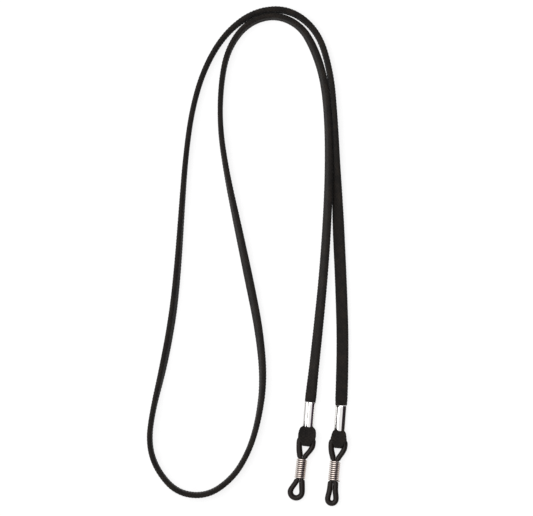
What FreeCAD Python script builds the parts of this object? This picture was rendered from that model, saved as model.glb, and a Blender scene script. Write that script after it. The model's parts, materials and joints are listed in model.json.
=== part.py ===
import FreeCAD, Part
import math
import os
from FreeCAD import Placement, Rotation, Vector

# Eyeglass retainer strap, laid out on a table. Millimetres, +Z up, table top at z = 0.
# The origin is under the middle of the two end fittings, and +Y runs from them along the strap.

# ---- driving dimensions -------------------------------------------------------------------
STRAP_WIDTH = 4.1
STRAP_THICK = 1.65

FERRULE_WIDTH = 3.8
FERRULE_HEIGHT = 2.85
SHEET = 0.3
SEAM_GAP = 0.12
FERRULE_EDGE = 0.1

RUBBER_DIA = 1.9
RING_HALF_WIDTH = 2.2
BAR_CORNER = 1.0
ARM_STRAIGHT = 2.4
ARM_BEND = 3.0
PINCH_OFFSET = 0.45
PINCH_OVERRUN = 0.6
CORE_OVERRUN = 0.3
EYE_TIP_FLAT = 0.05

SPRING_FROM_BAR = 9.9
SPRING_LENGTH = 6.9
SPRING_OUTER_DIA = 3.6
SPRING_WIRE = 0.5
SPRING_PITCH = 0.65
RING_CLEARANCE = 0.05
WIRE_TAIL = 1.0
WIRE_TAIL_ROOT = 10
WIRE_TAIL_WAY = Vector(1, -0.6, 0)

TAB_LAYER = 1.15
TAB_BORE = 1.05
TAB_IN_FERRULE = (3.1, 2.15)
TAB_THROAT = 1.65
TAB_SHOULDER = 2.75
TAB_WRAP_HALF = 1.15
SHOULDER_GAP = 1.1
SHOULDER_HEIGHT = 0.9
TAB_OVERLAP = 0.4
TAB_GAP = 0.12

# Each end: where its ferrule's mouth is, how far its fittings lean from +Y (degrees, top to
# the right), how far its eyes lie to the right of its spring, and how its lower eye is shaped.
ENDS = {
    "left": {
        "mouth": (-2.4, 17.3), "ferrule_lean": 5.0, "ferrule_length": 8.2, "seam": -0.5,
        "notches": 0.35, "bar": (-4.3, 5.05), "ring_lean": 6.8, "upper_shift": 0.7,
        "lower_shift": -0.65, "eye_half": 2.0, "eye_start": 16.9, "eye_end": 19.75,
        "wire_tail": False,
    },
    "right": {
        "mouth": (7.93, 16.2), "ferrule_lean": 4.3, "ferrule_length": 8.4, "seam": -1.2,
        "notches": 0.7, "bar": (6.6, 4.35), "ring_lean": 5.6, "upper_shift": 0.4,
        "lower_shift": 0.1, "eye_half": 1.35, "eye_start": 18.2, "eye_end": 20.75,
        "wire_tail": True,
    },
}

# The strap's route from the right ferrule's mouth to the left one's, seen from above. It goes
# up the outside, round the top, down to the loop at bottom left, and back up inside itself.
ROUTE = [
    (7.94, 16.3), (8.6, 33.0), (8.0, 55.0), (7.0, 76.0), (6.3, 96.0), (5.6, 113.0),
    (4.4, 127.5), (0.3, 140.9), (-9.2, 148.4), (-20.8, 147.6), (-30.6, 140.4), (-37.5, 129.0),
    (-41.6, 115.5), (-43.8, 100.0), (-45.1, 82.5), (-46.3, 64.5), (-48.0, 47.0),
    (-51.2, 29.5), (-55.0, 14.0), (-56.2, 3.6), (-53.6, -5.0), (-46.8, -12.9),
    (-36.8, -14.0), (-28.3, -8.1), (-23.0, 0.4), (-19.7, 10.8), (-17.8, 24.5),
    (-19.3, 41.0), (-22.7, 58.0), (-26.6, 76.5), (-30.2, 93.5), (-32.5, 109.0),
    (-32.1, 123.8), (-29.8, 135.0), (-23.6, 143.6), (-14.2, 146.6), (-5.6, 142.9),
    (-0.9, 135.0), (2.4, 124.5), (3.7, 110.5), (3.9, 93.5), (3.2, 76.0), (1.9, 58.0),
    (0.2, 41.0), (-1.1, 29.0), (-2.38, 17.4),
]
FLAT_EDGES = 5         # runs and arcs of the route, from its start, along which the strap lies flat
TURN_UP_EDGES = 3      # the next ones, over which it turns on edge
TURN_DOWN_EDGES = 4    # the last ones, over which it turns flat again
ARC_SHARE = 0.45       # how much of the shorter run each arc takes up
TWIST_STEPS = 12

UP = Vector(0, 0, 1)
BAR_Z = TAB_LAYER + TAB_BORE
SPRING_RADIUS = (SPRING_OUTER_DIA - SPRING_WIRE) / 2
PINCH_RADIUS = SPRING_OUTER_DIA / 2 - SPRING_WIRE - RING_CLEARANCE
SPRING_LOW = SPRING_FROM_BAR + SPRING_LENGTH / 2
# The ring hangs from its bar and rests on the spring's lower end, so it dips a little.
DIP = math.degrees(math.asin((BAR_Z - SPRING_OUTER_DIA / 2) / SPRING_LOW))


# ---- helpers --------------------------------------------------------------------------------
def route_edges(points, radii):
    """Straight runs joined by tangent arcs, as edges; one radius per inner point."""
    edges = []
    start = points[0]
    for before, corner, after, radius in zip(points, points[1:], points[2:], radii):
        back = (before - corner).normalize()
        ahead = (after - corner).normalize()
        half_turn = (math.pi - back.getAngle(ahead)) / 2
        reach = radius * math.tan(half_turn)
        arc_start = corner + back * reach
        arc_end = corner + ahead * reach
        bisector = (back + ahead).normalize()
        middle = corner + bisector * (radius / math.cos(half_turn) - radius)
        edges.append(Part.LineSegment(start, arc_start).toShape())
        edges.append(Part.Arc(arc_start, middle, arc_end).toShape())
        start = arc_end
    edges.append(Part.LineSegment(start, points[-1]).toShape())
    return edges


def cord_radii(points):
    """The largest arc each pair of runs leaves room for."""
    radii = []
    for before, corner, after in zip(points, points[1:], points[2:]):
        back = before - corner
        ahead = after - corner
        half_turn = (math.pi - back.getAngle(ahead)) / 2
        radii.append(ARC_SHARE * min(back.Length, ahead.Length) / math.tan(half_turn))
    return radii


def rectangle(centre, across, up, width, height):
    """A rectangular wire with its width along across and its height along up."""
    x = across * (width / 2)
    y = up * (height / 2)
    return Part.makePolygon([centre - x - y, centre + x - y, centre + x + y, centre - x + y, centre - x - y])


def band(edges, width, height):
    """A band of rectangular section standing on z = 0 along flat edges in the plane z = 0."""
    pieces = []
    for edge in edges:
        start = edge.valueAt(edge.FirstParameter)
        along = edge.tangentAt(edge.FirstParameter)
        across = along.cross(UP)
        face = Part.Face(rectangle(start + UP * (height / 2), across, UP, width, height))
        if edge.Curve.TypeId == "Part::GeomLine":
            pieces.append(face.extrude(edge.valueAt(edge.LastParameter) - start))
        else:
            curve = edge.Curve
            turn = math.degrees(edge.Length / curve.Radius)
            side = along.cross(curve.Center - start).z
            pieces.append(face.revolve(curve.Center, UP if side > 0 else -UP, turn))
    return pieces[0].multiFuse(pieces[1:]).removeSplitter() if len(pieces) > 1 else pieces[0]


def twist(edges, from_roll, to_roll):
    """A stretch that rolls evenly from one attitude to another; 0 is flat, 90 is on edge."""
    path = Part.Wire(edges)
    spots = path.discretize(Number=TWIST_STEPS + 1)
    first, last = edges[0], edges[-1]
    directions = [b - a for a, b in zip(spots[:-2], spots[2:])]
    directions = [first.tangentAt(first.FirstParameter)] + directions + [last.tangentAt(last.LastParameter)]
    sections = []
    for step, (spot, along) in enumerate(zip(spots, directions)):
        roll = math.radians(from_roll + (to_roll - from_roll) * step / TWIST_STEPS)
        half_height = (STRAP_WIDTH * abs(math.sin(roll)) + STRAP_THICK * abs(math.cos(roll))) / 2
        side = along.cross(UP).normalize()
        across = side * math.cos(roll) + UP * math.sin(roll)
        up = across.cross(along).normalize()
        sections.append(rectangle(spot + UP * half_height, across, up, STRAP_WIDTH, STRAP_THICK))
    return Part.makeLoft(sections, True, True)


def leaning(position, lean, z=0.0, dip=0.0):
    """The placement of a fitting whose own +Y leans to the right and dips away from its top."""
    turn = Rotation(UP, -lean).multiply(Rotation(Vector(1, 0, 0), dip))
    return Placement(Vector(position[0], position[1], z), turn)


def tube(points, radii, radius):
    """A round bar along a path of straight runs and arcs."""
    path = Part.Wire(route_edges(points, radii))
    first = path.Edges[0]
    circle = Part.makeCircle(radius, points[0], first.tangentAt(first.FirstParameter))
    return path.makePipeShell([Part.Wire(circle)], True, False)


def placed(shape, placement):
    result = shape.copy()
    result.Placement = placement
    return result


def prism(points, direction):
    return Part.Face(Part.makePolygon(points + points[:1])).extrude(direction)


# ---- sub-parts ------------------------------------------------------------------------------
def strap():
    """The flat cord: flat up the right side, on edge round the loops, flat at the left ferrule."""
    points = [Vector(x, y, 0) for x, y in ROUTE]
    radii = cord_radii(points)
    edges = route_edges(points, radii)
    turn_up_end = FLAT_EDGES + TURN_UP_EDGES
    flat = band(edges[:FLAT_EDGES], STRAP_WIDTH, STRAP_THICK)
    turn_up = twist(edges[FLAT_EDGES:turn_up_end], 0, 90)
    edge_on = band(edges[turn_up_end:-TURN_DOWN_EDGES], STRAP_THICK, STRAP_WIDTH)
    turn_down = twist(edges[-TURN_DOWN_EDGES:], 90, 180)
    cord = flat.multiFuse([turn_up, edge_on, turn_down])
    length = sum(edge.Length for edge in edges)
    expected = length * STRAP_WIDTH * STRAP_THICK
    print("arc radii:", ", ".join("%.0f" % r for r in radii))
    print("route length %.1f, volume %.1f, section x length %.1f" % (length, cord.Volume, expected))
    return cord


def oval(width, height, z=0.0):
    """An upright oval wire across the ferrule, in its own frame, flat sides top and bottom."""
    radius = height / 2
    flat = width / 2 - radius
    corners = [Vector(-flat, 0, z - radius), Vector(flat, 0, z - radius),
               Vector(flat, 0, z + radius), Vector(-flat, 0, z + radius)]
    bottom = Part.LineSegment(corners[0], corners[1]).toShape()
    right = Part.Arc(corners[1], Vector(flat + radius, 0, z), corners[2]).toShape()
    top = Part.LineSegment(corners[2], corners[3]).toShape()
    left = Part.Arc(corners[3], Vector(-flat - radius, 0, z), corners[0]).toShape()
    return Part.Wire([bottom, right, top, left])


def ferrule(end):
    """A sheet rolled to an oval tube and crimped: seam on top, with a V at each end of it."""
    length = end["ferrule_length"]
    axis = Vector(0, -length, 0)
    outside = Part.Face(oval(FERRULE_WIDTH, FERRULE_HEIGHT)).extrude(axis)
    ends = [edge for edge in outside.Edges if abs(edge.BoundBox.YLength) < 1e-6]
    outside = outside.makeFillet(FERRULE_EDGE, ends)
    inside = Part.Face(oval(FERRULE_WIDTH - 2 * SHEET, FERRULE_HEIGHT - 2 * SHEET)).extrude(axis)
    seam = end["seam"]
    notch = end["notches"]
    slit = Part.makeBox(SEAM_GAP, length, FERRULE_HEIGHT, Vector(seam - SEAM_GAP / 2, -length, 0))
    upper_v = prism([Vector(seam - notch, 0, 0), Vector(seam + notch, 0, 0), Vector(seam, -1.3 * notch, 0)],
                    UP * FERRULE_HEIGHT)
    lower_v = prism([Vector(seam - notch, -length, 0), Vector(seam + notch, -length, 0),
                     Vector(seam, -length + 1.6 * notch, 0)], UP * FERRULE_HEIGHT)
    rolled = outside.cut(inside).cut(slit.fuse(upper_v).fuse(lower_v))
    return placed(rolled, leaning(end["mouth"], end["ferrule_lean"], FERRULE_HEIGHT / 2))


def strap_end(end):
    """The strap's end folded back round the rubber ring, both layers gripped in the ferrule."""
    length = end["ferrule_length"]
    gripped = placed(Part.Face(oval(*TAB_IN_FERRULE)).extrude(Vector(0, -length - TAB_OVERLAP, 0)),
                     leaning(end["mouth"], end["ferrule_lean"], FERRULE_HEIGHT / 2))
    lower = gripped.Placement.multVec(Vector(0, -length, 0))
    frame = leaning(end["bar"], end["ring_lean"], BAR_Z)
    throat = frame.inverse().multVec(lower)
    low = throat.z - TAB_IN_FERRULE[1] / 2
    high = throat.z + TAB_IN_FERRULE[1] / 2
    outer_r = TAB_BORE + TAB_LAYER
    top = throat.y + 0.5
    outer = Part.Wire([
        Part.LineSegment(Vector(0, top, low), Vector(0, 0, -outer_r)).toShape(),
        Part.Arc(Vector(0, 0, -outer_r), Vector(0, -outer_r, 0), Vector(0, 0, outer_r)).toShape(),
        Part.LineSegment(Vector(0, 0, outer_r), Vector(0, top, high)).toShape(),
        Part.LineSegment(Vector(0, top, high), Vector(0, top, low)).toShape()])
    crotch = Vector(0, throat.y - 0.9, throat.z)
    bore = Part.Face(Part.Wire(Part.makeCircle(TAB_BORE, Vector(0, 0, 0), Vector(1, 0, 0))))
    gusset = Part.Face(Part.makePolygon([crotch, Vector(0, 0, -TAB_BORE), Vector(0, 0, TAB_BORE), crotch]))
    reach = 2 * STRAP_WIDTH
    side_view = Part.Face(outer).cut([bore, gusset])
    folded = placed(side_view, Placement(Vector(-reach / 2, 0, 0), Rotation())).extrude(Vector(reach, 0, 0))
    neck = throat.y - TAB_GAP
    half = [(TAB_SHOULDER, SHOULDER_GAP + SHOULDER_HEIGHT),
            (TAB_SHOULDER, SHOULDER_GAP), (TAB_WRAP_HALF, SHOULDER_GAP), (TAB_WRAP_HALF, -outer_r)]
    middle = end["upper_shift"]
    outline = [Vector(throat.x + TAB_THROAT, neck, -reach)] + \
              [Vector(middle + x, y, -reach) for x, y in half] + \
              [Vector(middle - x, y, -reach) for x, y in reversed(half)] + \
              [Vector(throat.x - TAB_THROAT, neck, -reach)]
    tab = placed(folded.common(prism(outline, UP * (2 * reach))), frame)
    return gripped.fuse(tab).removeSplitter()


def eye(arm, middle, pinch_at, bend_at, end_at, corner):
    """One eye of the ring: on each side a pinched stretch, an arm and half the far end."""
    sides = []
    for way in (1, -1):
        path = [Vector(way * PINCH_OFFSET, -pinch_at, 0), Vector(middle + way * arm, -bend_at, 0),
                Vector(middle + way * arm, -end_at, 0), Vector(middle, -end_at, 0)]
        sides.append(tube(path, [ARM_BEND, corner], RUBBER_DIA / 2))
    return sides[0].fuse(sides[1])


def rubber_loop(end):
    """A closed ring, squeezed together inside the spring into an upper and a lower eye."""
    top = SPRING_FROM_BAR - SPRING_LENGTH / 2
    upper = eye(RING_HALF_WIDTH, end["upper_shift"], top + PINCH_OVERRUN, ARM_STRAIGHT, 0.0, BAR_CORNER)
    lower = eye(end["eye_half"], end["lower_shift"], SPRING_LOW - PINCH_OVERRUN, end["eye_start"],
                end["eye_end"], end["eye_half"] - EYE_TIP_FLAT)
    axis = Vector(0, -1, 0)
    core = Part.makeCylinder(PINCH_RADIUS, SPRING_LENGTH + 2 * CORE_OVERRUN,
                             Vector(0, CORE_OVERRUN - top, 0), axis)
    room = Part.makeCylinder(2 * SPRING_RADIUS, SPRING_LENGTH + 2 * RING_CLEARANCE,
                             Vector(0, RING_CLEARANCE - top, 0), axis)
    ring = core.multiFuse([upper.cut(room), lower.cut(room)])
    return placed(ring, leaning(end["bar"], end["ring_lean"], BAR_Z, DIP))


def spring(end):
    """A close-wound coil; the right one's last turn ends in a short tail."""
    turns_height = SPRING_LENGTH - SPRING_WIRE
    path = Part.makeHelix(SPRING_PITCH, turns_height, SPRING_RADIUS)
    start = Vector(SPRING_RADIUS, 0, 0)
    circle = Part.makeCircle(SPRING_WIRE / 2, start, Vector(0, 1, 0))
    coil = Part.Wire(path.Edges).makePipeShell([Part.Wire(circle)], True, True)
    if end["wire_tail"]:
        a = math.radians(WIRE_TAIL_ROOT)
        root = Vector(SPRING_RADIUS * math.cos(a), SPRING_RADIUS * math.sin(a), SPRING_PITCH * a / (2 * math.pi))
        tail = Part.makeCylinder(SPRING_WIRE / 2 - 0.01, WIRE_TAIL, root, WIRE_TAIL_WAY)
        coil = coil.fuse(tail)
    # the helix rises along +Z: lay it along the ring, with its first turn at the lower end
    lying = Placement(Vector(0, -SPRING_FROM_BAR - turns_height / 2, 0), Rotation(Vector(1, 0, 0), -90))
    coil.Placement = lying
    frame = leaning(end["bar"], end["ring_lean"], BAR_Z, DIP)
    return placed(coil, frame.multiply(lying))


def export(name, shape):
    box = shape.optimalBoundingBox(False)
    print("%-20s solids %d valid %s  volume %8.2f  box %.2f..%.2f  %.2f..%.2f  %.2f..%.2f" % (
        name, len(shape.Solids), shape.isValid(), shape.Volume,
        box.XMin, box.XMax, box.YMin, box.YMax, box.ZMin, box.ZMax))
    shape.exportStep("parts/%s.step" % name)
    return box


os.makedirs("parts", exist_ok=True)
export("strap", strap())
fittings = FreeCAD.BoundBox()
for side, end in ENDS.items():
    makers = {"ferrule": ferrule, "strap_end": strap_end, "rubber_loop": rubber_loop, "spring": spring}
    for piece, make in makers.items():
        fittings.add(export("%s_%s" % (side, piece), make(end)))
print("fittings centre %.3f, %.3f" % (fittings.Center.x, fittings.Center.y))
for side, end in ENDS.items():
    frame = leaning(end["bar"], end["ring_lean"], BAR_Z, DIP)
    bar_axis = frame.Rotation.multVec(Vector(1, 0, 0))
    ring_axis = frame.Rotation.multVec(Vector(0, 1, 0))
    eye_centre = frame.multVec(Vector(end["lower_shift"], -(end["eye_start"] + end["eye_end"]) / 2, 0))
    print(side, "bar", tuple(frame.Base), "bar axis", tuple(bar_axis), "ring axis", tuple(ring_axis))
    print(side, "eye centre", tuple(eye_centre))
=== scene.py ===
import json
import math

import bpy
import numpy as np
from mathutils import Matrix, Vector, noise


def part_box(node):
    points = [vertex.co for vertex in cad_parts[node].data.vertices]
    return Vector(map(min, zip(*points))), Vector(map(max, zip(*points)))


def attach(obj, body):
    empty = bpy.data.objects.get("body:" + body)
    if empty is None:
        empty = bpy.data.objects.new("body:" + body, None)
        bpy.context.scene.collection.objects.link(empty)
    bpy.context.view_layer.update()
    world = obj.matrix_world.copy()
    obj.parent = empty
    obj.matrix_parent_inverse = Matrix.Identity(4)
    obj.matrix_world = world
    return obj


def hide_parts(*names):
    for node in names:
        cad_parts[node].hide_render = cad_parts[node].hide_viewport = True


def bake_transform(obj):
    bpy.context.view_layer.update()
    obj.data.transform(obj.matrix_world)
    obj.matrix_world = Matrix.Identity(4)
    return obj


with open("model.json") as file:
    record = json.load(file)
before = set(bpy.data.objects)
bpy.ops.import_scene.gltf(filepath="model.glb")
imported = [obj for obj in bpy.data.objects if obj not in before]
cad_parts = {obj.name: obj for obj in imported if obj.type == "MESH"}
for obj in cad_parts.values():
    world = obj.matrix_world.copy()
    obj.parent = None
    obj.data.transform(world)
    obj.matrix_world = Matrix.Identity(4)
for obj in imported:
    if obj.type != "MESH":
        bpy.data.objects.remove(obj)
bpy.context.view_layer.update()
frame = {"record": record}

# Looks of the eyeglass retainer strap. Metres, in the CAD model's frame, table top at z = 0.
MM = 0.001

# ---- driving dimensions -----------------------------------------------------------------------
STRAP_WIDTH = 4.1 * MM
STRAP_THICK = 1.68 * MM
BRAID_PITCH = 1.05 * MM          # one diamond of the braid along the strap
BRAID_COUNT = 8                  # diamonds round the strap
BRAID_RELIEF = 0.13 * MM
STATION_STEP = 0.212 * MM
SECTION_POINTS = 32

FERRULE_WIDTH = 3.8 * MM
FERRULE_HEIGHT = 2.85 * MM
SHEET = 0.3 * MM

RUBBER_RADIUS = 0.95 * MM
RING_HALF_WIDTH = 2.2 * MM
SPRING_FROM_BAR = 9.9 * MM
SPRING_LENGTH = 6.9 * MM
SPRING_RADIUS = 1.56 * MM
SPRING_WIRE = 0.48 * MM
SPRING_TURNS = 9.85
PINCH_RADIUS = 1.25 * MM

TAB_LAYER = 1.1 * MM
TAB_BEND = 1.62 * MM

# The strap's route from the right ferrule to the left one, seen from above, and at each of its
# points how far the strap leans from standing on edge, in degrees: 90 is flat.
ROUTE = [
    (0.00794, 0.0163), (0.0086, 0.033), (0.008, 0.055), (0.007, 0.076), (0.0063, 0.096),
    (0.0056, 0.113), (0.0044, 0.1275), (0.0003, 0.1409), (-0.0092, 0.1484), (-0.0208, 0.1476),
    (-0.0306, 0.1404), (-0.0375, 0.129), (-0.0416, 0.1155), (-0.0438, 0.1), (-0.0451, 0.0825),
    (-0.0463, 0.0645), (-0.048, 0.047), (-0.0512, 0.0295), (-0.055, 0.014), (-0.0562, 0.0036),
    (-0.0536, -0.005), (-0.0468, -0.0129), (-0.0368, -0.014), (-0.0283, -0.0081),
    (-0.023, 0.0004), (-0.0197, 0.0108), (-0.0178, 0.0245), (-0.0193, 0.041), (-0.0227, 0.058),
    (-0.0266, 0.0765), (-0.0302, 0.0935), (-0.0325, 0.109), (-0.0321, 0.1238),
    (-0.0298, 0.135), (-0.0236, 0.1436), (-0.0142, 0.1466), (-0.0056, 0.1429),
    (-0.0009, 0.135), (0.0024, 0.1245), (0.0037, 0.1105), (0.0039, 0.0935), (0.0032, 0.076),
    (0.0019, 0.058), (0.0002, 0.041), (-0.0011, 0.029), (-0.00238, 0.0174),
]
LEAN = [
    90, 72, 67, 66, 26, 15, 10, 10, 14, 14, 7, 4, 2, 2, 8, 16, 22, 20, 4, 5, 6, 7, 7, 6, 5, 8, 17,
    27, 31, 22, 9, 3, -4, -8, -16, -15, -17, -25, -23, -21, -26, -31, -34, -40, -43, -60,
]

# Each end's own shapes. The bar, the ring's direction and the ferrule's middle come from the
# frame. The eyes lie a little to one side of the spring's line. In millimetres, tab_halves gives
# the folded end's half width at heights above the bar, lower_arm the half width of the lower eye
# at distances below the bar, and tip and tip_radius that eye's lowest point and its bend.
ENDS = {
    "left": {
        "ferrule_lean": 5.0, "ferrule_length": 8.2 * MM, "facet": 0.0,
        "seam": -0.5 * MM, "gap": 0.26 * MM, "notch": 0.28 * MM,
        "upper_shift": 0.7 * MM, "lower_shift": -0.65 * MM, "tail": 0.0,
        "lower_arm": [(0.75, 13.7), (1.25, 15.3), (1.7, 16.5)], "tip_radius": 1.95, "tip": 19.75,
        "tab_halves": [(-2.2, 1.3), (-1.5, 1.35), (-0.9, 1.65), (-0.3, 2.35), (0.2, 2.85),
                       (1.0, 2.97), (1.8, 2.95), (2.6, 2.85), (3.2, 2.68), (3.8, 2.42), (4.15, 2.0),
                       (4.5, 1.5), (13.0, 1.5)],
    },
    "right": {
        "ferrule_lean": 4.3, "ferrule_length": 8.4 * MM, "facet": 30.0,
        "seam": -1.2 * MM, "gap": 0.34 * MM, "notch": 0.7 * MM,
        "upper_shift": 0.4 * MM, "lower_shift": 0.1 * MM, "tail": 0.6 * MM,
        "lower_arm": [(0.86, 13.7), (0.88, 15.3), (1.0, 16.9), (1.3, 18.3)], "tip_radius": 1.35,
        "tip": 20.75,
        "tab_halves": [(-2.2, 1.3), (-1.5, 1.35), (-0.9, 1.6), (-0.3, 2.2), (0.2, 2.6),
                       (0.7, 2.7), (1.7, 2.5), (2.5, 2.35), (3.1, 2.15), (3.45, 1.95),
                       (3.8, 1.5), (13.0, 1.5)],
    },
}


# ---- mesh helpers -----------------------------------------------------------------------------
def smooth_line(name, points, order):
    """Points along a NURBS curve through the middle of these control points."""
    data = bpy.data.curves.new(name, "CURVE")
    data.dimensions = "3D"
    data.resolution_u = 24
    spline = data.splines.new("NURBS")
    spline.points.add(len(points) - 1)
    for control, point in zip(spline.points, points):
        control.co = (*point, 1.0)
    spline.order_u = order
    spline.use_endpoint_u = True
    holder = bpy.data.objects.new(name, data)
    bpy.context.collection.objects.link(holder)
    line = bpy.data.meshes.new_from_object(holder)
    found = np.array([v.co for v in line.vertices])
    bpy.data.meshes.remove(line)
    bpy.data.objects.remove(holder)
    bpy.data.curves.remove(data)
    return found


def evenly(points, step, *others):
    """The line again with even steps, and each other value read along it."""
    lengths = np.linalg.norm(np.diff(points, axis=0), axis=1)
    run = np.concatenate([[0], np.cumsum(lengths)])
    count = max(3, round(run[-1] / step) + 1)
    at = np.linspace(0, run[-1], count)
    line = np.stack([np.interp(at, run, points[:, k]) for k in range(3)], axis=1)
    return [line, at] + [np.interp(at, run, other) for other in others]


def tangents(points):
    along = np.gradient(points, axis=0)
    return along / np.linalg.norm(along, axis=1, keepdims=True)


def make_object(name, vertices, faces):
    mesh = bpy.data.meshes.new(name)
    mesh.from_pydata([tuple(v) for v in vertices], [], faces)
    mesh.update()
    obj = bpy.data.objects.new(name, mesh)
    bpy.context.collection.objects.link(obj)
    return obj


def skin(name, rings, along=None, around=None):
    """A closed tube through rings of points, capped at both ends, with a weave map if given."""
    count, points = rings.shape[:2]
    vertices = rings.reshape(-1, 3)
    faces = []
    for i in range(count - 1):
        a, b = i * points, (i + 1) * points
        for j in range(points):
            k = (j + 1) % points
            faces.append((a + j, a + k, b + k, b + j))
    faces.append(tuple(reversed(range(points))))
    faces.append(tuple(range((count - 1) * points, count * points)))
    obj = make_object(name, vertices, faces)
    obj.data.polygons.foreach_set("use_smooth", [True] * (len(faces) - 2) + [False, False])
    if along is not None:
        add_weave_map(obj, along, around, count, points)
    return obj


def add_weave_map(obj, along, around, count, points):
    """A UV map in braid diamonds: u along the strap, v round it."""
    layer = obj.data.uv_layers.new(name="weave")
    uv = np.zeros((len(obj.data.loops), 2), np.float32)
    row = np.repeat(np.arange(count - 1), points)
    column = np.tile(np.arange(points), count - 1)
    u0, u1 = along[row], along[row + 1]
    v0, v1 = around[column], around[column + 1]
    quads = np.stack([np.stack(c, 1) for c in ((u0, v0), (u0, v1), (u1, v1), (u1, v0))], 1)
    uv[:quads.shape[0] * 4] = quads.reshape(-1, 2)
    layer.data.foreach_set("uv", uv.ravel())


def apply_modifiers(obj):
    graph = bpy.context.evaluated_depsgraph_get()
    mesh = bpy.data.meshes.new_from_object(obj.evaluated_get(graph))
    obj.modifiers.clear()
    obj.data = mesh
    return obj


ACROSS_STRAND = 0.8              # powers that shape a diamond across its strand
ALONG_STRAND = 0.35              # and along it, where it is flatter


def braid_height(u, v):
    """Relief of the braid, 0 to 1, in diamonds that stand proud one way and then the other."""
    a, b = u + v, u - v
    over = (np.floor(a) + np.floor(b)) % 2
    across = np.where(over == 0, a, b) % 1.0
    down = np.where(over == 0, b, a) % 1.0
    return np.sin(np.pi * across) ** ACROSS_STRAND * np.sin(np.pi * down) ** ALONG_STRAND


def oval_length(width, height):
    """The distance round an oval with flat top and bottom and round sides."""
    return 2 * (width - height) + math.pi * height


def oval_point(distance, width, height):
    """Place and outward normal on such an oval, this far round it from the middle of its top."""
    radius = height / 2
    flat = width / 2 - radius
    d = (distance + flat) % oval_length(width, height)
    if d < 2 * flat:
        return (d - flat, radius), (0, 1)
    if 2 * flat + math.pi * radius <= d < 4 * flat + math.pi * radius:
        return (flat - (d - 2 * flat - math.pi * radius), -radius), (0, -1)
    if d < 2 * flat + math.pi * radius:
        middle = flat
        turn = math.pi / 2 - (d - 2 * flat) / radius
    else:
        middle = -flat
        turn = -math.pi / 2 - (d - 4 * flat - math.pi * radius) / radius
    normal = (math.cos(turn), math.sin(turn))
    return (middle + radius * normal[0], radius * normal[1]), normal


def flat_section(width, thick, count):
    """Points round a flat section: places, outward normals and shares of the way round it."""
    start = (width - thick) / 2
    around = oval_length(width, thick)
    found = [oval_point((k + 0.5) / count * around - start, width, thick) for k in range(count)]
    places = np.array([place for place, _ in found])
    normals = np.array([normal for _, normal in found])
    share = (np.arange(count + 1) + 0.5) / count
    return places, normals, share


def rings_about(line, one, other, a, b):
    """Rings of points about a line, a and b away from it in two directions across it."""
    return line[:, None, :] + one[:, None, :] * a[:, :, None] + other[:, None, :] * b[:, :, None]


def circle(count):
    """The cosines and sines of even steps round a circle, as one row each."""
    turn = np.linspace(0, 2 * math.pi, count, endpoint=False)
    return np.cos(turn)[None, :], np.sin(turn)[None, :]


# ---- materials --------------------------------------------------------------------------------
def fill_ramp(node, stops):
    """Gives a colour ramp these stops, each a place from 0 to 1 and a colour."""
    while len(node.color_ramp.elements) < len(stops):
        node.color_ramp.elements.new(0.5)
    for element, (place, colour) in zip(node.color_ramp.elements, stops):
        element.position = place
        element.color = (*colour, 1)


class Nodes:
    """A short way to build a material's nodes and links."""

    def __init__(self, name):
        self.material = bpy.data.materials.new(name)
        self.material.use_nodes = True
        self.tree = self.material.node_tree
        self.shader = self.tree.nodes["Principled BSDF"]

    def add(self, kind, values=(), **settings):
        node = self.tree.nodes.new(kind)
        for key, value in settings.items():
            setattr(node, key, value)
        for socket, value in dict(values).items():
            if isinstance(value, bpy.types.NodeSocket):
                self.tree.links.new(value, node.inputs[socket])
            else:
                node.inputs[socket].default_value = value
        return node

    def math(self, operation, a, b=0.0):
        return self.add("ShaderNodeMath", {0: a, 1: b}, operation=operation).outputs[0]

    def noise(self, scale, detail, roughness):
        where = self.add("ShaderNodeTexCoord").outputs["Object"]
        values = {"Vector": where, "Scale": scale, "Detail": detail, "Roughness": roughness}
        return self.add("ShaderNodeTexNoise", values).outputs["Fac"]

    def ramp(self, factor, stops):
        node = self.add("ShaderNodeValToRGB", {"Fac": factor})
        fill_ramp(node, stops)
        return node.outputs["Color"]

    def spread(self, factor, low, high):
        values = {"Value": factor, "To Min": low, "To Max": high}
        return self.add("ShaderNodeMapRange", values).outputs[0]

    def bump(self, height, distance, strength):
        values = {"Height": height, "Distance": distance, "Strength": strength}
        return self.add("ShaderNodeBump", values).outputs["Normal"]

    def finish(self, **sockets):
        for name, value in sockets.items():
            socket = self.shader.inputs[name.replace("_", " ")]
            if isinstance(value, bpy.types.NodeSocket):
                self.tree.links.new(value, socket)
            else:
                socket.default_value = value
        return self.material


FILAMENTS = 6                    # fine lines across one strand of the braid


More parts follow.
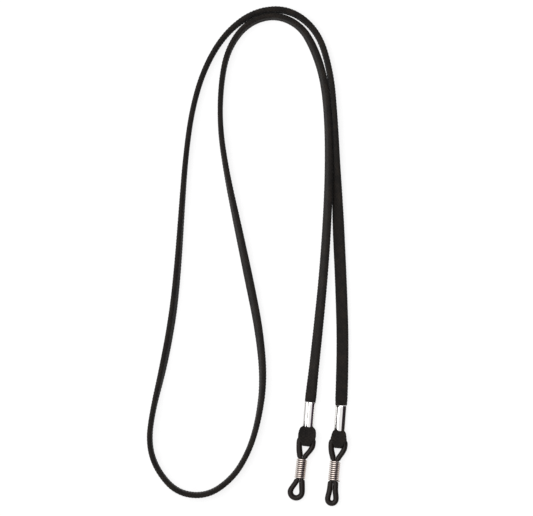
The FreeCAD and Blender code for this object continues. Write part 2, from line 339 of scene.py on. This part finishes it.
def braid_material():
    """Strands of the same braid as in the mesh, each of several filaments, dusty and fuzzy, with
    painted shade in the grooves between strands and a painted highlight along each strand's crown.
    """
    n = Nodes("black_braid")
    weave = n.add("ShaderNodeUVMap", uv_map="weave").outputs["UV"]
    split = n.add("ShaderNodeSeparateXYZ", {0: weave})
    u, v = split.outputs["X"], split.outputs["Y"]
    a, b = n.math("ADD", u, v), n.math("SUBTRACT", u, v)
    cells = n.math("ADD", n.math("FLOOR", a), n.math("FLOOR", b))
    over = n.math("MODULO", n.math("ABSOLUTE", cells), 2.0)
    lane = n.add("ShaderNodeMix", {0: over, 2: a, 3: b}).outputs[0]
    across = n.math("FRACT", lane)
    filaments = n.math("SINE", n.math("MULTIPLY", lane, 2 * math.pi * FILAMENTS))
    groove = n.math("SINE", n.math("MULTIPLY", across, math.pi))
    fuzz = n.noise(scale=9000, detail=4, roughness=0.7)
    height = n.math("ADD", n.math("MULTIPLY", filaments, 0.35), n.math("MULTIPLY", fuzz, 0.9))
    tint = n.ramp(n.noise(scale=420, detail=5, roughness=0.7), [
        (0.3, (0.0045, 0.0038, 0.0034)), (0.5, (0.0085, 0.0068, 0.0056)),
        (0.62, (0.013, 0.0095, 0.0068)), (0.72, (0.0085, 0.0095, 0.0072))])
    # painted shade and highlight: the colour is darkened towards each strand's edges, in the grooves,
    # and lightened on its crown, and the fuzz noise adds random tone
    groove_shade_and_fuzz = n.math("MULTIPLY", n.spread(groove, 0.55, 1.25), n.spread(fuzz, 0.6, 1.6))
    shade = n.add("ShaderNodeMix", {0: 1.0, 6: tint}, data_type="RGBA", blend_type="MULTIPLY")
    grey = n.add("ShaderNodeCombineColor", {0: groove_shade_and_fuzz, 1: groove_shade_and_fuzz, 2: groove_shade_and_fuzz}).outputs[0]
    n.tree.links.new(grey, shade.inputs[7])
    return n.finish(
        Base_Color=shade.outputs[2], Roughness=n.spread(fuzz, 0.7, 0.95),
        Normal=n.bump(height, distance=0.03 * MM, strength=0.7),
        Sheen_Weight=0.05, Sheen_Roughness=0.5,
        Specular_IOR_Level=0.2)


def nickel_material(name, tint, edge, rough):
    """Plated metal with its colours seen straight on and at its edges, a little smeared and scuffed."""
    n = Nodes(name)
    smears = n.noise(scale=260, detail=4, roughness=0.6)
    scuffs = n.noise(scale=2600, detail=5, roughness=0.7)
    colour = n.ramp(smears, [(0.35, tuple(0.93 * c for c in tint)), (0.65, tint)])
    height = n.math("ADD", n.math("MULTIPLY", smears, 0.3), n.math("MULTIPLY", scuffs, 0.08))
    return n.finish(
        Base_Color=colour, Metallic=1.0, Specular_Tint=(*edge, 1),
        Roughness=n.spread(scuffs, rough * 0.7, rough * 1.5),
        Normal=n.bump(height, distance=0.02 * MM, strength=0.5))


def rubber_material():
    n = Nodes("black_rubber")
    mottle = n.noise(scale=1500, detail=4, roughness=0.6)
    dust = n.noise(scale=6000, detail=6, roughness=0.75)
    colour = n.ramp(mottle, [(0.3, (0.007, 0.005, 0.004)), (0.7, (0.015, 0.0105, 0.0085))])
    height = n.math("ADD", n.math("MULTIPLY", dust, 0.3), mottle)
    return n.finish(
        Base_Color=colour, Roughness=n.spread(dust, 0.34, 0.55), Specular_IOR_Level=0.26, IOR=1.4,
        Normal=n.bump(height, distance=0.02 * MM, strength=0.35))


BRAID = braid_material()
NICKEL = nickel_material(
    "bright_nickel", tint=(0.9, 0.89, 0.87), edge=(0.75, 0.74, 0.75), rough=0.07)
SPRING_NICKEL = nickel_material(
    "spring_nickel", tint=(0.68, 0.6, 0.55), edge=(0.45, 0.4, 0.38), rough=0.14)
RUBBER = rubber_material()


def dress(obj, material, node):
    """Gives a piece its material and hides the CAD node that it stands for."""
    obj.data.materials.clear()
    obj.data.materials.append(material)
    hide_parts(node)


# ---- camera -----------------------------------------------------------------------------------
# The camera looks straight down, and VIEW_WIDTH of the table fills the picture from side to side.
VIEW_WIDTH = 0.1777
VIEW_MIDDLE = (-0.01693, 0.0654)
CAMERA_HEIGHT = 1.6
SENSOR = 36.0


def add_camera():
    data = bpy.data.cameras.new("camera")
    data.sensor_width = SENSOR
    data.lens = SENSOR * CAMERA_HEIGHT / VIEW_WIDTH
    data.clip_end = 10
    camera = bpy.data.objects.new("camera", data)
    camera.location = (*VIEW_MIDDLE, CAMERA_HEIGHT)
    bpy.context.collection.objects.link(camera)
    bpy.context.scene.camera = camera


# ---- the strap --------------------------------------------------------------------------------
LEAN_PASSES = 400                # how often the lean is smoothed from station to station
GATHER = 0.05                    # the share of its width that the strap loses at a ferrule,
GATHER_REACH = 1.3 * MM          # and how far along it that is seen
LIFT = 0.45 * MM                 # how high a ferrule holds the strap off the table,
LIFT_REACH = 3.5 * MM            # and how far along it that is seen
BRAID_MIDDLE = 0.55              # the height in the braid's relief that lies on the plain section
WANDER_SCALE = 160               # noise per metre along the strap, by which the braid wanders
WANDER = 0.5                     # the most that it wanders, in diamonds
FUZZ_SCALE = 2600
FUZZ_HEIGHT = 0.03 * MM


def lean_along(count):
    """The lean at each point of the curve, which is nearest a control point halfway past it."""
    place = np.linspace(0, len(ROUTE) - 2, count)
    knots = np.concatenate([[0], np.arange(1, len(ROUTE) - 1) - 0.5, [len(ROUTE) - 2]])
    return np.radians(np.interp(place, knots, LEAN))


def soften(values, passes):
    """Smooths values along a line, in place, and leaves its ends alone."""
    for _ in range(passes):
        values[1:-1] = (values[:-2] + 2 * values[1:-1] + values[2:]) / 4
    return values


def make_strap():
    curve = smooth_line("strap_route", [(x, y, 0.0) for x, y in ROUTE], 3)
    line, at, lean = evenly(curve, STATION_STEP, lean_along(len(curve)))
    lean = soften(lean, LEAN_PASSES)
    along = tangents(line)
    side = np.stack([along[:, 1], -along[:, 0], np.zeros(len(line))], axis=1)
    up = np.array([0.0, 0.0, 1.0])
    wide = up * np.cos(lean)[:, None] + side * np.sin(lean)[:, None]
    thin = side * np.cos(lean)[:, None] - up * np.sin(lean)[:, None]

    # the strap is gathered and lifted where the ferrules grip it
    from_end = np.minimum(at, at[-1] - at)
    narrow = 1 - GATHER * np.exp(-(from_end / GATHER_REACH) ** 2)
    lift = LIFT * np.exp(-(from_end / LIFT_REACH) ** 2)
    half_flat = (STRAP_WIDTH - STRAP_THICK) / 2
    centre = line.copy()
    centre[:, 2] = STRAP_THICK / 2 + half_flat * np.abs(np.cos(lean)) + lift

    places, normals, share = flat_section(STRAP_WIDTH, STRAP_THICK, SECTION_POINTS)
    # the braid wanders a little, so that its diamonds are not all alike
    wander = np.array([noise.noise(Vector((s * WANDER_SCALE, 3.1, 0.7))) for s in at])
    u = (at / BRAID_PITCH + WANDER * wander)[:, None]
    v = share[None, :-1] * BRAID_COUNT
    fuzz = np.array([
        [noise.noise(Vector((s * FUZZ_SCALE, k * 0.9, 5.0))) for k in range(SECTION_POINTS)]
        for s in at])
    relief = BRAID_RELIEF * (braid_height(u, v) - BRAID_MIDDLE) + FUZZ_HEIGHT * fuzz
    w = places[None, :, 0] * narrow[:, None] + relief * normals[None, :, 0]
    t = places[None, :, 1] + relief * normals[None, :, 1]
    rings = rings_about(centre, wide, thin, w, t)
    rings[:, :, 2] = np.maximum(rings[:, :, 2], 0.0)
    strap = skin("braided_strap", rings, u[:, 0], share * BRAID_COUNT)
    dress(strap, BRAID, "strap")
    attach(strap, "root")


# ---- the end fittings -------------------------------------------------------------------------
JOINTS = {j["name"]: j for j in frame["record"]["behaviour"]["joints"]}


def bar_frame(side, y=None):
    """Origin in the bar's middle, x along the bar, and y towards the ferrule: as given, or level."""
    swing = JOINTS[side + "_loop_swing"]
    x = Vector(swing["axis"]).normalized()
    if y is None:
        y = Vector((0, 0, 1)).cross(x)
    turn = Matrix((x, y, x.cross(y))).transposed().to_4x4()
    return Matrix.Translation(Vector(swing["pos_m"])) @ turn


def ring_frame(side):
    """The bar's frame with y along the ring, which does not lie quite level."""
    return bar_frame(side, Vector(JOINTS[side + "_spring_slide"]["axis"]).normalized())


def ferrule_frame(side):
    """Origin in the middle of the ferrule, y along it towards the strap."""
    low, high = (Vector(corner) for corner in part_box(side + "_ferrule"))
    turn = Matrix.Rotation(-math.radians(ENDS[side]["ferrule_lean"]), 4, "Z")
    return Matrix.Translation((low + high) / 2) @ turn


def into(matrix, points):
    """Points of an end's own frame in the whole object's frame."""
    flat = np.asarray(points).reshape(-1, 3)
    turned = flat @ np.array(matrix.to_3x3()).T + np.array(matrix.translation)
    return turned.reshape(np.shape(points))


FERRULE_COLUMNS = 72
FERRULE_ROWS = 36
EVEN_COLUMNS = 0.35              # the rest of the columns' spacing crowds them towards the seam
NOTCH_REACH = 1.2                # half the V's width at the rim, in the notch's size,
NOTCH_POWER = 1.3                # how its sides curve,
TOP_DEPTH = 1.3                  # and its depth at the strap's end
BOTTOM_DEPTH = 1.6               # and at the fold's
RIM_SINK, RIM_REACH = 0.05 * MM, 0.35 * MM
SEAM_SINK, SEAM_REACH = 0.04 * MM, 0.2 * MM
DENT_HEIGHT = 0.004 * MM
FACET_SLOPE = math.radians(40)
RIM_ROUND = 0.05 * MM


def make_ferrule(side):
    """A rolled sheet with an open seam on top and a V at each end of it."""
    end = ENDS[side]
    length, notch, gap = end["ferrule_length"], end["notch"], end["gap"]
    facet = math.radians(end["facet"])
    around = oval_length(FERRULE_WIDTH, FERRULE_HEIGHT)
    grid = []
    for i in range(FERRULE_COLUMNS + 1):
        share = i / FERRULE_COLUMNS
        eased = 0.5 - 0.5 * math.cos(math.pi * share)
        travel = gap / 2 + (around - gap) * (EVEN_COLUMNS * share + (1 - EVEN_COLUMNS) * eased)
        from_seam = min(travel, around - travel)
        (x, z), (nx, nz) = oval_point(end["seam"] + travel, FERRULE_WIDTH, FERRULE_HEIGHT)
        cut = notch * max(0.0, 1 - from_seam / (NOTCH_REACH * notch)) ** NOTCH_POWER
        top = length / 2 - TOP_DEPTH * cut
        bottom = -length / 2 + BOTTOM_DEPTH * cut
        # the pliers have pressed one shoulder flat
        off = abs(math.atan2(nx, nz) - FACET_SLOPE)
        pressed = 0.0
        if off < facet:
            pressed = FERRULE_HEIGHT / 2 * (1 - math.cos(facet) / math.cos(off))
        for j in range(FERRULE_ROWS + 1):
            y = bottom + (top - bottom) * j / FERRULE_ROWS
            # the sheet turns in a little along its rims and its seam, and is not quite even
            sunk = RIM_SINK * math.exp(-min(y - bottom, top - y) / RIM_REACH)
            sunk += SEAM_SINK * math.exp(-from_seam / SEAM_REACH) + pressed
            sunk -= DENT_HEIGHT * noise.noise(Vector((x * 700, y * 250, z * 700)))
            grid.append((x - nx * sunk, y, z - nz * sunk))
    rows = FERRULE_ROWS + 1
    faces = []
    for i in range(FERRULE_COLUMNS):
        for j in range(FERRULE_ROWS):
            a = i * rows + j
            faces.append((a, a + rows, a + rows + 1, a + 1))
    obj = make_object(side + "_rolled_ferrule", into(ferrule_frame(side), np.array(grid)), faces)
    obj.data.polygons.foreach_set("use_smooth", [True] * len(faces))
    thicken = obj.modifiers.new("thickness", "SOLIDIFY")
    thicken.thickness = SHEET
    thicken.offset = -1
    rim = obj.modifiers.new("rim", "BEVEL")
    rim.width = RIM_ROUND
    rim.segments = 3
    rim.limit_method = "ANGLE"
    rim.angle_limit = math.radians(50)
    apply_modifiers(obj)
    dress(obj, NICKEL, side + "_ferrule")
    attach(obj, "root")


SPRING_STEPS = 40                # along one turn
WIRE_POINTS = 14
CLOSED_RATE = 0.84               # the last turns' rise beside the other turns'
CLOSED_TURNS = 0.8               # and how many turns they take to close up
TAIL_WAY = np.array([[1.0, -0.15, 0.55]]) / 1.16   # which way the wire's tail points


def make_spring(side):
    """A close-wound coil whose last turns close up; the right one's wire ends in a short tail."""
    turn = np.linspace(0, SPRING_TURNS, int(SPRING_TURNS * SPRING_STEPS) + 1)
    from_end = np.minimum(turn, SPRING_TURNS - turn)
    rate = CLOSED_RATE + (1 - CLOSED_RATE) * np.clip(from_end / CLOSED_TURNS, 0, 1)
    rise = np.concatenate([[0], np.cumsum((rate[1:] + rate[:-1]) / 2)])
    rise = rise / rise[-1] * (SPRING_LENGTH - SPRING_WIRE)
    low = -SPRING_FROM_BAR - (SPRING_LENGTH - SPRING_WIRE) / 2
    angle = 2 * math.pi * turn
    line = np.stack(
        [SPRING_RADIUS * np.cos(angle), low + rise, -SPRING_RADIUS * np.sin(angle)], axis=1)
    tail = ENDS[side]["tail"]
    if tail:
        line = np.vstack([line[0] + np.linspace(1, 0.12, 8)[:, None] * tail * TAIL_WAY, line])
    along = tangents(line)
    outward = np.stack([line[:, 0], np.zeros(len(line)), line[:, 2]], axis=1)
    outward -= along * np.sum(outward * along, axis=1, keepdims=True)
    outward /= np.linalg.norm(outward, axis=1, keepdims=True)
    radius = np.full((len(line), 1), SPRING_WIRE / 2)
    radius[[0, -1]] *= 0.7       # the wire's cut ends are a little rounded
    cos, sin = circle(WIRE_POINTS)
    rings = rings_about(line, outward, np.cross(along, outward), radius * cos, radius * sin)
    obj = skin(side + "_coil", into(ring_frame(side), rings))
    dress(obj, SPRING_NICKEL, side + "_spring")
    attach(obj, side + "_slider")


FLARE = 0.9 * MM                 # how far the rubber swells out again just beyond the spring,
FLARE_REACH = 0.35 * MM          # and how soon
ROOM_CURVE = 2.5 * MM


def pinch_room(y):
    """How far from its axis the rubber may reach inside the spring and beyond its ends."""
    top = -(SPRING_FROM_BAR - SPRING_LENGTH / 2)
    bottom = -(SPRING_FROM_BAR + SPRING_LENGTH / 2)
    away = np.maximum(0, np.maximum(y - top, bottom - y))
    return PINCH_RADIUS + FLARE * (1 - np.exp(-away / FLARE_REACH)) + away ** 2 / ROOM_CURVE


RUBBER_POINTS = 24
RUBBER_STEP = 0.22 * MM
ARM_SLOPE = 0.75                 # an eye's side is an arm where it runs at least this much along y
ARM_REACH = 1.4 * RUBBER_RADIUS  # and this near the middle, and two arms press against each other
HALF_SLIT = 0.015 * MM           # with this much between each and the middle


def make_eye(name, matrix, control, shift, shift_from, shift_to):
    """One eye of the ring as a round tube, its two sides pressed together where they meet.

    The whole eye then moves aside by shift, which grows from nothing to all of it between two places.
    """
    curve = smooth_line(name + "_line", control, 4)
    line, _ = evenly(curve, RUBBER_STEP)
    along = tangents(line)
    out = np.stack([along[:, 1], -along[:, 0], np.zeros(len(line))], axis=1)
    up = np.tile([0.0, 0.0, 1.0], (len(line), 1))
    cos, sin = circle(RUBBER_POINTS)
    rings = rings_about(line, out, up, RUBBER_RADIUS * cos, RUBBER_RADIUS * sin)
    half = np.sign(line[:, 0])[:, None]
    arm = (np.abs(along[:, 1]) > ARM_SLOPE) & (np.abs(line[:, 0]) < ARM_REACH)
    inner = np.maximum(rings[:, :, 0] * half, HALF_SLIT) * half
    rings[:, :, 0] = np.where(arm[:, None], inner, rings[:, :, 0])
    reach = np.hypot(rings[:, :, 0], rings[:, :, 2])
    room = pinch_room(rings[:, :, 1])
    squeeze = np.where(reach > room, room / np.maximum(reach, 1e-9), 1.0)
    rings[:, :, 0] *= squeeze
    rings[:, :, 2] *= squeeze
    share = np.clip((rings[:, :, 1] - shift_from) / (shift_to - shift_from), 0, 1)
    rings[:, :, 0] += shift * share ** 2 * (3 - 2 * share)
    return skin(name, into(matrix, rings))


def mirrored(half):
    """Control points in the ring's plane for a whole eye, from the (x, y) of its left half."""
    return [(x, y, 0) for x, y in half] + [(-x, y, 0) for x, y in reversed(half)]


ARM = 0.6 * MM                   # the middle of the rubber from the spring's axis, inside it
BEND_POINTS = 1.06               # control points round an eye's end lie this much outside its bend


def make_rubber(side):
    """The ring as its upper and lower eyes, which meet out of sight inside the spring."""
    end = ENDS[side]
    matrix = ring_frame(side)
    middle = -SPRING_FROM_BAR
    top = middle + SPRING_LENGTH / 2
    bottom = middle - SPRING_LENGTH / 2
    upper = [(-ARM, middle), (-ARM, middle + 1 * MM), (-ARM, top - 0.6 * MM),
             (-0.72 * MM, top + 0.7 * MM), (-1.72 * MM, top + 2.6 * MM),
             (-RING_HALF_WIDTH, -2.4 * MM), (-RING_HALF_WIDTH - 0.1 * MM, -1.0 * MM),
             (-RING_HALF_WIDTH, 0.1 * MM), (-1.3 * MM, 0.05 * MM), (-0.5 * MM, 0)]
    tip = -end["tip"] * MM
    reach = BEND_POINTS * end["tip_radius"] * MM
    heart = tip + end["tip_radius"] * MM
    lower = [(-ARM, middle), (-ARM, middle - 1 * MM), (-ARM, bottom + 0.6 * MM)]
    lower += [(-x * MM, -y * MM) for x, y in end["lower_arm"]]
    lower += [(-reach * math.cos(a), heart - reach * math.sin(a)) for a in np.radians([0, 36, 72])]
    upper_eye = make_eye(
        side + "_rubber_upper_eye", matrix, mirrored(upper), end["upper_shift"], top, -2 * MM)
    lower_eye = make_eye(
        side + "_rubber_lower_eye", matrix, mirrored(lower), end["lower_shift"], bottom, heart)
    for obj in (upper_eye, lower_eye):
        dress(obj, RUBBER, side + "_rubber_loop")
    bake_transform(upper_eye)
    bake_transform(lower_eye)


TAB_STATIONS = 220
TAB_POINTS = 40
TAB_SPACING = 0.53 * MM          # each layer's middle from the ferrule's, inside it
TAB_FROM_MOUTH = 0.4 * MM        # how far short of the ferrule's mouth the layers end
TAB_THINNED = 0.15               # the share of a layer's thickness that the crimp takes
SECTION_WIDTH, SECTION_THICK = 2.0, 0.5   # of the plain section that is stretched to each station
PLEAT_HEIGHT, PLEAT_COUNT = 0.09 * MM, 11
CURL = 0.35 * MM                 # how far the edges curl where the fold is wide:
CURL_FROM = 1.4 * MM             # the half width at which they start to, and the width beyond it
TAB_RELIEF = 0.1 * MM


def make_tab(side):
    """The strap's folded-back end: down from the ferrule, round the rubber and up again."""
    end = ENDS[side]
    matrix = bar_frame(side)
    to_bar = matrix.inverted() @ ferrule_frame(side)
    half_length = end["ferrule_length"] / 2
    foot = to_bar @ Vector((0, -half_length, 0))
    inside = to_bar @ Vector((0, half_length - TAB_FROM_MOUTH, 0))
    layer = TAB_SPACING
    middle = end["upper_shift"]
    control = [
        (inside.x, inside.y, inside.z - layer), (foot.x, foot.y + 0.5 * MM, foot.z - layer),
        (middle, foot.y - 1.0 * MM, foot.z - layer - 0.1 * MM), (middle, 1.5 * MM, -TAB_BEND),
        (middle, 0.2 * MM, -TAB_BEND), (middle, -1.5 * MM, -TAB_BEND * 0.95), (middle, -1.8 * MM, 0),
        (middle, -1.5 * MM, TAB_BEND * 0.95), (middle, 0.2 * MM, TAB_BEND),
        (middle, 1.3 * MM, TAB_BEND - 0.15 * MM),
        (middle, foot.y - 1.0 * MM, foot.z + layer + 0.55 * MM),
        (foot.x, foot.y + 0.5 * MM, foot.z + layer), (inside.x, inside.y, inside.z + layer)]
    curve = smooth_line(side + "_tab_line", control, 4)
    length = np.linalg.norm(np.diff(curve, axis=0), axis=1).sum()
    line, at = evenly(curve, length / TAB_STATIONS)
    along = tangents(line)
    wide = np.tile([1.0, 0.0, 0.0], (len(line), 1))
    thin = np.cross(along, wide)
    y = line[:, 1]
    heights, halves = np.array(end["tab_halves"]).T * MM
    half = soften(np.interp(y, heights, halves), 3)
    places, normals, share = flat_section(SECTION_WIDTH, SECTION_THICK, TAB_POINTS)
    across, through = places[None, :, 0], places[None, :, 1] / (SECTION_THICK / 2)
    crimped = np.clip((y - 0.5 * MM) / (foot.y - 0.5 * MM), 0, 1)[:, None]
    # pleats where the fabric is gathered, and edges that curl towards the rubber
    pleat = PLEAT_HEIGHT * np.cos(across * PLEAT_COUNT) * crimped ** 0.6
    widened = np.clip((half - CURL_FROM) / CURL_FROM, 0, 1)[:, None]
    curl = -CURL * np.abs(across) ** 2.5 * widened
    u = at[:, None] / BRAID_PITCH
    v = share[None, :-1] * BRAID_COUNT
    relief = TAB_RELIEF * (braid_height(u, v) - 0.5)
    w = across * half[:, None] + relief * normals[None, :, 0]
    t = through * TAB_LAYER / 2 * (1 - TAB_THINNED * crimped) + relief * normals[None, :, 1]
    rings = into(matrix, rings_about(line, wide, thin, w, t + pleat + curl))
    rings[:, :, 2] = np.maximum(rings[:, :, 2], 0.0)
    obj = skin(side + "_folded_end", rings, u[:, 0], share * BRAID_COUNT)
    dress(obj, BRAID, side + "_strap_end")
    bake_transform(obj)


# ---- floor, light and surroundings ------------------------------------------------------------
FLOOR_HALF = 3.0
FLOOR_DROP = 0.02 * MM           # keeps the floor clear of what touches the table top


def add_floor():
    corners = [(FLOOR_HALF * x, FLOOR_HALF * y, 0) for x, y in ((-1, -1), (1, -1), (1, 1), (-1, 1))]
    floor = make_object("floor", corners, [(0, 1, 2, 3)])
    floor.location.z = -FLOOR_DROP
    n = Nodes("paper")
    grain = n.noise(scale=300, detail=2, roughness=0.5)
    floor.data.materials.append(n.finish(
        Base_Color=n.ramp(grain, [(0.3, (0.21, 0.21, 0.21)), (0.7, (0.23, 0.23, 0.23))]),
        Roughness=0.9, Specular_IOR_Level=0.1, Emission_Color=(1, 1, 1, 1), Emission_Strength=0.82))


def add_surroundings():
    """A bright room with a dark wall and a violet window to the right, which bright metal mirrors."""
    world = bpy.data.worlds.new("studio")
    world.use_nodes = True
    tree = world.node_tree
    links = tree.links
    where = tree.nodes.new("ShaderNodeTexCoord")
    split = tree.nodes.new("ShaderNodeSeparateXYZ")
    links.new(where.outputs["Generated"], split.inputs[0])
    ramp = tree.nodes.new("ShaderNodeValToRGB")
    links.new(split.outputs["X"], ramp.inputs["Fac"])
    pale, bright = (0.93, 0.92, 0.93), (1.0, 1.0, 1.0)
    brown, dark, violet = (0.07, 0.04, 0.03), (0.03, 0.02, 0.025), (0.22, 0.17, 0.25)
    stops = [(0.0, pale), (0.29, bright), (0.35, brown), (0.46, dark), (0.52, violet),
             (0.60, violet), (0.66, dark), (1.0, dark)]
    fill_ramp(ramp, stops)
    background = tree.nodes["Background"]
    links.new(ramp.outputs["Color"], background.inputs["Color"])
    background.inputs["Strength"].default_value = 1.0
    bpy.context.scene.world = world
    bpy.context.scene.view_settings.view_transform = "Standard"


def add_lamp():
    data = bpy.data.lights.new("softbox", "AREA")
    data.shape = "RECTANGLE"
    data.size = 1.2
    data.size_y = 1.2
    data.energy = 12
    lamp = bpy.data.objects.new("softbox", data)
    lamp.location = (-0.5, 0.4, 1.4)
    aim = Vector((*VIEW_MIDDLE, 0)) - lamp.location
    lamp.rotation_euler = aim.to_track_quat("-Z", "Y").to_euler()
    bpy.context.collection.objects.link(lamp)


add_camera()
make_strap()
for side in ENDS:
    make_tab(side)
    make_ferrule(side)
    make_rubber(side)
    make_spring(side)
add_floor()
add_lamp()
add_surroundings()
